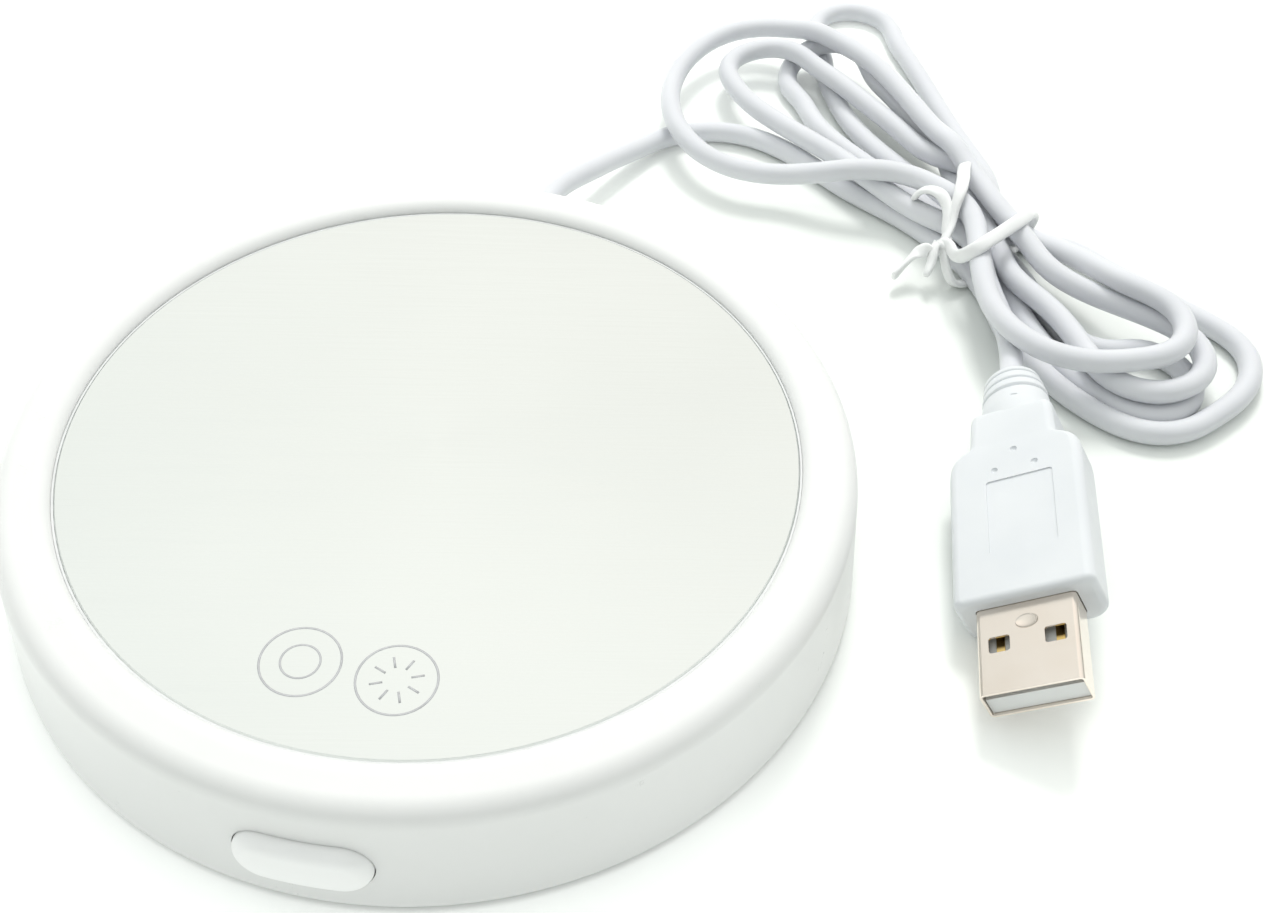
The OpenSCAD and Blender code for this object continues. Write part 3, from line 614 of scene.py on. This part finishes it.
# Along the plug: place, half width, half height, radius of the lower edges. The front edge is rounded, the wide
# part ends in a shoulder, and the neck behind it keeps the same top plane
grip = []
for a in (0, 15, 30, 45, 60, 75, 90):
    i = 0.9 * (1 - math.sin(math.radians(a)))
    grip.append((0.9 * (1 - math.cos(math.radians(a))), 8.5 - i, 4.0 - i, 2.4 - 0.5 * i))
for y, hw, hh, r in (
    (3.0, 8.5, 4.0, 2.4),
    (9.0, 8.5, 4.0, 2.4),
    (15.0, 8.5, 4.0, 2.4),
    (19.0, 8.5, 4.0, 2.4),
    (21.0, 8.46, 4.0, 2.4),
    (22.2, 8.34, 4.0, 2.35),
    (22.9, 8.14, 4.0, 2.3),
    (23.4, 7.86, 3.99, 2.2),
    (23.8, 7.5, 3.98, 2.1),
    (24.1, 7.1, 3.97, 2.0),
    (24.35, 6.64, 3.96, 1.85),
    (24.55, 6.2, 3.95, 1.7),
    (24.75, 5.86, 3.94, 1.65),
    (25.05, 5.69, 3.93, 1.6),
    (25.7, 5.6, 3.92, 1.6),
    (27.0, 5.52, 3.9, 1.6),
    (28.6, 5.46, 3.88, 1.6),
    (29.8, 5.4, 3.85, 1.6),
    (30.3, 5.32, 3.81, 1.6),
    (30.6, 5.2, 3.72, 1.6),
    (30.75, 5.02, 3.56, 1.6),
    (30.8, 4.8, 3.36, 1.55),
):
    grip.append((y, hw, hh, r))
rings = []
for y, hw, hh, r in grip:
    off = 0.15 if y < 24 else 0.1
    top = min(1.25, 0.72 * r)
    rings.append([plug_pt(q[0] + off, y, q[1]) for q in rounded_poly(rect(-hw, hw, -hh, hh), (r, r, top, top), 8)])
verts, faces = loft(rings)
plug_grip = make("plug_body", verts, faces, MAT["plug_pvc"], 30)


def prism(name, outline, y0, y1):
    """Outline in (x, z) of the plug, drawn along its length."""
    v, f = loft([[plug_pt(p[0], y, p[1]) for p in outline] for y in (y0, y1)])
    return make(name, v, f, MAT["plug_pvc"], 30)


def plate_prism(name, outline, z0, z1):
    """Outline in (x, y) of the plug, drawn through its thickness."""
    v, f = loft([[plug_pt(p[0], p[1], z) for p in outline] for z in (z0, z1)])
    return make(name, v, f, MAT["plug_pvc"], 30)


def ball(name, c, rx, ry, rz, k=40):
    """A closed ellipsoid with quads round it and a fan at each pole."""
    verts, faces = [plug_pt(c[0], c[1], c[2] - rz)], []
    rows = 15
    for a in np.linspace(-math.pi / 2, math.pi / 2, rows + 2)[1:-1]:
        for b in np.linspace(0, 2 * math.pi, k, endpoint=False):
            verts.append(plug_pt(c[0] + rx * math.cos(a) * math.cos(b), c[1] + ry * math.cos(a) * math.sin(b), c[2] + rz * math.sin(a)))
    verts.append(plug_pt(c[0], c[1], c[2] + rz))
    top = len(verts) - 1
    for i in range(k):
        j = (i + 1) % k
        faces.append((0, 1 + j, 1 + i))
        for r in range(rows - 1):
            faces.append((1 + r * k + i, 1 + r * k + j, 1 + (r + 1) * k + j, 1 + (r + 1) * k + i))
        faces.append((top, 1 + (rows - 1) * k + i, 1 + (rows - 1) * k + j))
    return make(name, verts, faces, MAT["plug_pvc"], 0)


cutters = [prism("cut_pocket", rounded_poly(rect(-6.08, 6.08, -2.33, 2.33), 0.6, 4), -1, 4.05)]
# Shallow bare panel moulded into the top face
cutters.append(plate_prism("cut_panel", rounded_poly(rect(-3.35, 5.0, 6.7, 18.35), 0.35, 5), 3.82, 5))
for i, (x, y) in enumerate(((0.38, 22.96), (2.9, 20.0), (-2.2, 20.05))):
    cutters.append(ball(f"cut_d{i}", (x, y, 4.02), 0.46, 0.46, 0.36, 20))
cut(plug_grip, cutters, MAT["plug_pvc"], 30)
weighted(plug_grip)
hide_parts("plug_grip")
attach(plug_grip, "warmer")

# Ribbed sleeve that comes out of the neck, flush with its top, and droops towards the cord
SLEEVE = [(0, 29.6, 0), (0, 31.2, 0), (0, 32.8, -0.02), (-0.06, 34.4, -0.12), (-0.2, 35.9, -0.36), (-0.36, 37.3, -0.62), (-0.55, 38.7, -0.93), (-0.72, 40.0, -1.22)]
sleeve_line = catmull([tuple(plug_pt(*p)) for p in SLEEVE], 0.08)
arc = np.concatenate([[0], np.cumsum(np.linalg.norm(np.diff(sleeve_line, axis=0), axis=1))])
L = arc[-1]
GROOVES = (5.1, 7.0, 8.9)
wide, high = [], []
for s in arc:
    f = max(0.0, (s - 2.5) / (L - 2.5))
    g = 0.0
    for c in GROOVES:
        d = abs(s - c)
        if d < 0.34:
            g = 0.5 * (0.5 + 0.5 * math.cos(math.pi * d / 0.34))
    # Each band swells a little between its grooves
    swell = 0.0
    if s > GROOVES[0]:
        swell = 0.12 * math.sin(math.pi * min(1.0, ((s - GROOVES[0]) % 1.9) / 1.9))
    end = 0.9 - math.sqrt(max(0, 0.81 - (0.9 - (L - s)) ** 2)) if L - s < 0.9 else 0.0
    wide.append(4.75 - 1.15 * f - g + swell - end)
    high.append((3.8 - 0.72 * f - g + swell - end) / (4.75 - 1.15 * f - g + swell - end))
rings = tube(sleeve_line, wide, 48, high, None, tuple(PLUG_R @ np.array([0, 0, 1.0])))
v, f = loft(rings)
sleeve = make("plug_sleeve", v, f, MAT["plug_pvc"], 50)
# A short slot in the first band
cut(sleeve, [ball("cut_slot", (0.95, 33.0, 3.76), 0.6, 0.2, 0.3, 24)], MAT["plug_pvc"], 50)
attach(sleeve, "warmer")

# ---------------------------------------------------------------------------
# Plug shell: folded sheet with two windows on each broad face
# ---------------------------------------------------------------------------

outer = rounded_poly(rect(-6, 6, -2.25, 2.25), 0.6, 8)
inner = rounded_poly(rect(-5.7, 5.7, -1.95, 1.95), 0.32, 8)
ys = (-12, 4)
n = len(outer)
verts = [plug_pt(p[0], y, p[1]) for y in ys for p in outer] + [plug_pt(p[0], y, p[1]) for y in ys for p in inner]
faces = []
for i in range(n):
    j = (i + 1) % n
    faces += [(i, j, n + j, n + i), (2 * n + j, 2 * n + i, 3 * n + i, 3 * n + j), (j, i, 2 * n + i, 2 * n + j), (n + i, n + j, 3 * n + j, 3 * n + i)]
shell = make("plug_shell_sheet", verts, faces, MAT["plug_nickel"], 30)
cutters = []
for i, s in enumerate((-1, 1)):
    cutters.append(plate_prism(f"cut_w{i}", rounded_poly(rect(s * 3.3 - 1.25, s * 3.3 + 1.25, -6.4, -4.2), 0.35, 5), -5, 5))
cutters.append(ball("cut_dent", (0.05, -2.75, 2.27), 1.36, 1.0, 0.29, 48))
cutters.append(plate_prism("cut_seam", rect(-0.06, 0.06, -12.5, 3), -5, -2.1))
cut(shell, cutters, MAT["plug_nickel"], 30)
b = shell.modifiers.new("edge", "BEVEL")
b.width = 0.00006
b.segments = 2
b.limit_method = "ANGLE"
b.angle_limit = math.radians(50)
evaluated(shell, MAT["plug_nickel"], 40)
weighted(shell)
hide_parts("plug_shell")
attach(shell, "warmer")

# ---------------------------------------------------------------------------
# Twist tie
# ---------------------------------------------------------------------------

# One flat wire: round the bundle, twisted into a knot at its left, with a second turn, a small loop and two free ends
BAND = [(53.3, 59.2, 2.3), (54.3, 60.7, 3.0), (55.4, 62.1, 3.8), (56.6, 63.0, 4.6), (57.8, 63.25, 5.15), (58.9, 63.7, 5.1), (59.9, 63.9, 5.9), (60.7, 63.2, 6.4), (61.3, 61.5, 6.7),
        (62.2, 59.5, 7.7), (63.1, 58.5, 9.2), (64.1, 58.4, 10.3), (65.3, 59.5, 10.75), (66.9, 61.8, 10.5), (68.7, 64.5, 10.2), (70.2, 66.7, 10.0),
        (71.5, 69.1, 9.5), (72.6, 71.6, 8.4), (73.2, 73.2, 6.6), (73.0, 73.7, 4.4), (72.2, 73.0, 2.2), (70.6, 70.8, 0.75), (67.5, 66.5, 0.45),
        (64.2, 62.3, 0.6), (62.1, 60.9, 1.7), (61.0, 61.6, 3.3), (60.3, 63.0, 4.7), (60.0, 64.3, 5.6), (60.2, 65.4, 6.2), (60.6, 66.8, 7.0),
        (60.8, 68.2, 8.1), (61.0, 69.4, 9.5), (61.3, 70.7, 10.6), (61.5, 72.4, 10.95), (61.7, 74.8, 10.6), (61.8, 77.6, 10.0), (62.1, 80.0, 9.3),
        (62.5, 81.6, 7.9), (62.8, 82.3, 6.2)]
LOOP = [(58.1, 59.9, 2.8), (58.3, 60.7, 3.4), (58.6, 61.7, 4.3), (58.7, 62.9, 5.4), (59.1, 63.8, 5.9), (60.0, 63.6, 5.5), (60.6, 64.3, 5.6), (60.4, 65.6, 6.0), (60.1, 67.2, 6.8),
        (60.0, 68.7, 7.9), (59.7, 70.1, 8.7), (58.9, 71.4, 9.2), (57.8, 72.3, 9.3), (56.6, 72.9, 8.9), (55.6, 73.2, 8.0), (54.9, 73.2, 6.7)]


def wire(points, half, thick):
    """A flat wire with round edges and rounded ends, its flat side turned out of the bundle."""
    path = catmull(points, 0.25)
    arc = np.concatenate([[0], np.cumsum(np.linalg.norm(np.diff(path, axis=0), axis=1))])
    w = []
    for s in arc:
        e = min(s, arc[-1] - s)
        w.append(half * (0.62 + 0.38 * math.sqrt(max(0.0, 1 - (1 - min(1.0, e / half)) ** 2))))
    tan = np.gradient(path, axis=0)
    tan /= np.linalg.norm(tan, axis=1)[:, None]
    out = path - np.array([66.0, 68.0, 5.2])
    rings = []
    for p, d, n, r in zip(path, tan, out, w):
        n = n * np.array([1, 1, 1.6])
        n = n - d * (n @ d)
        n /= np.linalg.norm(n)
        b = np.cross(d, n)
        ring = []
        for q in np.linspace(0, 2 * math.pi, 20, endpoint=False):
            # Two cores under the paper make the section a shallow figure of eight
            x, z = math.cos(q), math.sin(q)
            at = p + b * (r * x) + n * (thick * z * (0.86 + 0.24 * x * x) * min(1.0, r / half))
            # Pressed flat where it lies on the table
            ring.append(np.array([at[0], at[1], max(at[2], 0.02)]))
        rings.append(ring)
    return loft(rings)


tv, tf = [], []
for pts, half in ((BAND, 1.05), (LOOP, 0.95)):
    v, f = wire(pts, half, 0.58)
    base = len(tv)
    tv.extend(v)
    tf.extend([tuple(i + base for i in q) for q in f])
tie = make("tie_wire", tv, tf, MAT["tie_white"], 60)
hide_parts("twist_tie")
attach(tie, "warmer")

# ---------------------------------------------------------------------------
# Housing: the same shell as the frame's, turned finely enough to show no facets
# ---------------------------------------------------------------------------


def arc_pts(c, r, a0, a1, n):
    return [(c[0] + r * math.cos(math.radians(a)), c[1] + r * math.sin(math.radians(a))) for a in np.linspace(a0, a1, n + 1)]


def turned(name, profile, seg, mat, sharp=30):
    rings = []
    for a in np.linspace(0, 2 * math.pi, seg, endpoint=False):
        rings.append([(r * math.cos(a), r * math.sin(a), z) for r, z in profile])
    n = len(profile)
    verts = [p for r in rings for p in r]
    faces = []
    for k in range(seg):
        a, b2 = k * n, ((k + 1) % seg) * n
        for i in range(n):
            j = (i + 1) % n
            faces.append((a + i, b2 + i, b2 + j, a + j))
    return make(name, verts, faces, mat, sharp)


def rod(name, x, y, z0, z1, r, k=40, axis="z"):
    c = [(r * math.cos(a), r * math.sin(a)) for a in np.linspace(0, 2 * math.pi, k, endpoint=False)]
    if axis == "z":
        v, f = loft([[(x + p, y + q, z) for p, q in c] for z in (z0, z1)])
    else:
        v, f = loft([[(x + p, w, y + q) for p, q in c] for w in (z0, z1)])
    return make(name, v, f, MAT["housing_white"], 30)


profile = (
    [(50, 1.2), (51.62, 1.2), (51.78, 1.23), (51.9, 1.3), (51.97, 1.4), (52, 1.55)]
    + [(52 - 1.3 * (z - 1.5) / 12.9, z) for z in (4.0, 8.0, 11.5, 13.4)]
    + arc_pts((48.1, 14.4), 2.6, 0, 90, 26)
    + [(47.4, 17.0), (46.6, 17.0)]
    + arc_pts((45.93, 14.6), 2.4, 90, 143, 20)
    + [(44, 15.98), (44, 14.6), (40, 14.6), (40, 12.1), (46, 12.1), (46, 15), (47.5, 15), (48.7, 13.8)]
)
housing = turned("housing_shell", profile, 360, MAT["housing_white"], 30)
bosses, holes = [], []
for a in (45, 135, 225, 315):
    x, y = 42.6 * math.cos(math.radians(a)), 42.6 * math.sin(math.radians(a))
    bosses.append(rod(f"cut_boss{a}", x, y, 5, 12.35, 3))
    holes.append(rod(f"cut_pilot{a}", x, y, 4, 11, 1.15))
for a in (0, 120, 240):
    x, y = 42 * math.cos(math.radians(a)), 42 * math.sin(math.radians(a))
    holes.append(rod(f"cut_tab{a}", x, y, 11.6, 14.0, 0.8, 24))
holes.append(rod("cut_exit", 0, 6.4, 47, 56, 3.2, 48, "y"))
SLOT_W, SLOT_H = 15.08, 7.08
v, f = loft([[(s * (SLOT_W - SLOT_H) / 2 + SLOT_H / 2 * math.cos(a), w, 8 + SLOT_H / 2 * math.sin(a)) for s, a in
              [(1, q) for q in np.linspace(-math.pi / 2, math.pi / 2, 29)] + [(-1, q) for q in np.linspace(math.pi / 2, 1.5 * math.pi, 29)]] for w in (-56, -47)])
holes.append(make("cut_slot_button", v, f, MAT["housing_white"], 30))
cut(housing, bosses, MAT["housing_white"], 30, "UNION")
cut(housing, holes, MAT["housing_white"], 30)
weighted(housing)
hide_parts("upper_shell")
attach(housing, "warmer")

# ---------------------------------------------------------------------------
# Push button
# ---------------------------------------------------------------------------

FACE_R, BZ, BW, BH, BR = 52.94, 8.0, 14.8, 6.8, 1.55
KC, KS = 24, 14  # points on a round end less one, and steps along a straight


def pill(w, h):
    """Outline of a pill from the lower end of its right half round to where it starts, in the wall's (x, z)."""
    r = h / 2
    c = w / 2 - r
    pts = []
    for s, a0 in ((1, -90), (-1, 90)):
        for a in np.linspace(a0, a0 + 180, KC + 1):
            pts.append((s * c + r * math.cos(math.radians(a)), r * math.sin(math.radians(a))))
        for f in np.linspace(0, 1, KS + 1)[1:-1]:
            pts.append((s * c * (1 - 2 * f), s * r))
    return pts


def face_y(x, depth):
    return -(math.sqrt(FACE_R**2 - x * x) - depth)


rings = [[(p[0], -47.6, p[1] + BZ) for p in pill(BW, BH)]]
for d in (4.4, 3.4, 2.4):
    rings.append([(p[0], face_y(p[0], d), p[1] + BZ) for p in pill(BW, BH)])
CROWN = 0.16
for a in np.linspace(0, 90, 13):
    o = BR * (1 - math.cos(math.radians(a)))
    d = (BR - CROWN) * (1 - math.sin(math.radians(a))) + CROWN
    rings.append([(p[0], face_y(p[0], d), p[1] + BZ) for p in pill(BW - 2 * o, BH - 2 * o)])
for o in (1.85, 2.2, 2.6, 3.0):
    f = (o - BR) / (BH / 2 - BR)
    rings.append([(p[0], face_y(p[0], CROWN * (1 - f) ** 2), p[1] + BZ) for p in pill(BW - 2 * o, BH - 2 * o)])
v, f = loft(rings, True, False)
# The last ring is closed by a ladder of narrow quads between its upper and lower points
base = (len(rings) - 1) * len(rings[0])
half = KC + KS
up = [KC // 2 + i for i in range(half + 1)]
down = [(KC // 2 - i) % (2 * half) for i in range(half + 1)]
for i in range(half):
    q = [base + down[i], base + up[i], base + up[i + 1], base + down[i + 1]]
    f.append(tuple(dict.fromkeys(q)))
button = make("button_cap", v, f, MAT["button_white"], 40)
# Ears behind the wall keep it in its slot, and the stem reaches the switch
ears, n = [], 25
xs = np.linspace(-9.2, 9.2, n)
ev = [(x, -math.sqrt(r * r - x * x), BZ + z) for r, z in ((48.8, -2.6), (48.8, 2.6), (47.6, 2.6), (47.6, -2.6)) for x in xs]
ef = [(a * n + i, a * n + i + 1, b2 * n + i + 1, b2 * n + i) for a, b2 in ((0, 1), (1, 2), (2, 3), (3, 0)) for i in range(n - 1)]
ef += [(0, n, 2 * n, 3 * n), (n - 1, 2 * n - 1, 3 * n - 1, 4 * n - 1)]
ear = make("cut_ear", ev, ef, MAT["button_white"], 30)
sv, sf = loft([[(x, y, BZ + z) for x, z in rounded_poly(rect(-2.6, 2.6, -2.2, 2.2), 0.4, 4)] for y in (-48.2, -46.2)])
stem = make("cut_stem", sv, sf, MAT["button_white"], 30)
cut(button, [ear, stem], MAT["button_white"], 40, "UNION")
weighted(button)
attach(button, "button")

# ---------------------------------------------------------------------------
# Etched marks on the plate: two plain ring motifs
# ---------------------------------------------------------------------------


def ribbon(points, width, z, closed=True):
    """A flat line of the given width through points in the plate's plane."""
    p = np.array(points, float)
    nxt, prv = np.roll(p, -1, axis=0), np.roll(p, 1, axis=0)
    if not closed:
        nxt[-1], prv[0] = p[-1], p[0]
    d = nxt - prv
    d /= np.linalg.norm(d, axis=1)[:, None]
    side = np.c_[-d[:, 1], d[:, 0]] * width / 2
    n = len(p)
    verts = []
    for zz in (z - 0.02, z + 0.008):
        verts += [(*q, zz) for q in p + side] + [(*q, zz) for q in p - side]
    faces = []
    last = n if closed else n - 1
    for i in range(last):
        j = (i + 1) % n
        a, b, c, e = i, n + i, 2 * n + i, 3 * n + i
        a2, b2, c2, e2 = j, n + j, 2 * n + j, 3 * n + j
        faces += [(c, e, e2, c2), (a, a2, b2, b), (a, c, c2, a2), (b, b2, e2, e)]
    if not closed:
        faces += [(0, n, 3 * n, 2 * n), (n - 1, 3 * n - 1, 4 * n - 1, 2 * n - 1)]
    return verts, faces


PLATE_Z = 16.0
mv, mf = [], []


def add_mark(points, width=0.36, closed=True):
    v, f = ribbon(points, width, PLATE_Z, closed)
    base = len(mv)
    mv.extend(v)
    mf.extend([tuple(i + base for i in q) for q in f])


def ring_pts(c, r, k=72):
    return [(c[0] + r * math.cos(a), c[1] + r * math.sin(a)) for a in np.linspace(0, 2 * math.pi, k, endpoint=False)]


C1, C2 = (-5.2, -33.4), (5.3, -33.6)
add_mark(ring_pts(C1, 4.3), 0.26)
add_mark(ring_pts(C1, 2.1), 0.24)
add_mark(ring_pts(C2, 4.3), 0.26)
for k in range(8):
    a = math.radians(45 * k + 22.5)
    c, s = math.cos(a), math.sin(a)
    add_mark([(C2[0] + c * r, C2[1] + s * r) for r in (1.5, 2.2, 2.9)], 0.26, False)
marks = make("plate_marks", mv, mf, MARKS.mat, 0)
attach(marks, "warmer")

# ---------------------------------------------------------------------------
# Finishes of the CAD nodes
# ---------------------------------------------------------------------------

SLOT = {}
for part in frame["record"]["subparts"]:
    SLOT[part["node"]] = part["material_slot"]
for name, ob in NODES.items():
    mat = MAT[SLOT[name]]
    ob.data.materials.clear()
    ob.data.materials.append(mat)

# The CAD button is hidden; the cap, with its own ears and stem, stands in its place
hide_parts("switch_button")

# ---------------------------------------------------------------------------
# Stage and light
# ---------------------------------------------------------------------------

bm = bmesh.new()
bmesh.ops.create_grid(bm, x_segments=1, y_segments=1, size=3)
fl = bpy.data.meshes.new("floor")
bm.to_mesh(fl)
bm.free()
floor = bpy.data.objects.new("floor", fl)
scene.collection.objects.link(floor)
floor.location = (0, 0, -0.00001)
F = Nodes("floor")
# Painted light: the sheet glows a little all round to lift the housing's cast shadow off the floor, but not under the
# bundle, where the shadows show, and not under the housing, where the shade under its wall stays dark
away = F.tree.nodes.new("ShaderNodeVectorMath")
away.operation = "DISTANCE"
away.inputs[1].default_value = (0.080, 0.062, 0.0)
F.link(F.coord.outputs["Object"], away.inputs[0])
centre = F.tree.nodes.new("ShaderNodeVectorMath")
centre.operation = "LENGTH"
F.link(F.coord.outputs["Object"], centre.inputs[0])
painted_fill_glow = F.math("MULTIPLY", F.span(away.outputs["Value"], 0.0, 0.35, 0.055, 0.105), F.span(centre.outputs["Value"], 0.0, 1.0, 0.0510, 0.0521))
F.set(Emission_Color=(1.0, 1.0, 1.0), Emission_Strength=painted_fill_glow, Base_Color=F.ramp(F.noise(6, 2), [(0.3, (0.845, 0.87, 0.845)), (0.7, (0.86, 0.885, 0.86))]), Roughness=0.9, Specular_IOR_Level=0.1)
fl.materials.append(F.mat)

world = bpy.data.worlds.new("studio")
scene.world = world
world.use_nodes = True
wt = world.node_tree
bg = wt.nodes["Background"]
tc = wt.nodes.new("ShaderNodeTexCoord")


def sky(direction, low, high, at_low, at_high):
    """Light that grows smoothly from one value to another with the angle to a direction."""
    dot = wt.nodes.new("ShaderNodeVectorMath")
    dot.operation = "DOT_PRODUCT"
    dot.inputs[1].default_value = Vector(direction).normalized()
    wt.links.new(tc.outputs["Generated"], dot.inputs[0])
    m = wt.nodes.new("ShaderNodeMapRange")
    m.interpolation_type = "SMOOTHSTEP"
    m.inputs["From Min"].default_value = low
    m.inputs["From Max"].default_value = high
    m.inputs["To Min"].default_value = at_low
    m.inputs["To Max"].default_value = at_high
    wt.links.new(dot.outputs["Value"], m.inputs["Value"])
    return m.outputs["Result"]


def summed(a, b):
    m = wt.nodes.new("ShaderNodeMath")
    m.operation = "ADD"
    wt.links.new(a, m.inputs[0])
    wt.links.new(b, m.inputs[1])
    return m.outputs[0]


dome = sky((0, 0.1, 1), -0.1, 1.0, 0.26, 0.85)
lobe = sky((0.02, 0.80, 0.60), 0.58, 1.0, 0.0, 0.33)
left = sky((-1, 0, 0.1), 0.0, 1.0, 0.0, 0.25)
wt.links.new(summed(summed(dome, lobe), left), bg.inputs["Strength"])
tint = wt.nodes.new("ShaderNodeMix")
tint.data_type = "RGBA"
tint.inputs[6].default_value = (0.965, 1.0, 0.975, 1)
tint.inputs[7].default_value = (1.0, 0.985, 0.945, 1)
wt.links.new(sky((0.02, 0.80, 0.60), 0.66, 1.0, 0.0, 1.0), tint.inputs[0])
wt.links.new(tint.outputs[2], bg.inputs["Color"])


def softbox(name, direction, distance, size, power, colour, glossy=True, target=(0.03, 0.03, 0)):
    d = Vector(direction).normalized()
    data = bpy.data.lights.new(name, "AREA")
    data.shape = "RECTANGLE"
    data.size, data.size_y = size
    data.energy = power
    data.color = colour
    ob = bpy.data.objects.new(name, data)
    scene.collection.objects.link(ob)
    ob.location = Vector(target) + d * distance
    ob.rotation_euler = (-d).to_track_quat("-Z", "Y").to_euler()
    ob.visible_glossy = glossy
    return ob


softbox("top", (-0.03, 0.12, 0.99), 0.9, (0.6, 0.6), 0.9, (1.0, 1.0, 1.0), False)
softbox("key_back", (-0.04, 0.60, 0.79), 0.95, (0.26, 0.26), 4.6, (1.0, 0.995, 0.98), False)
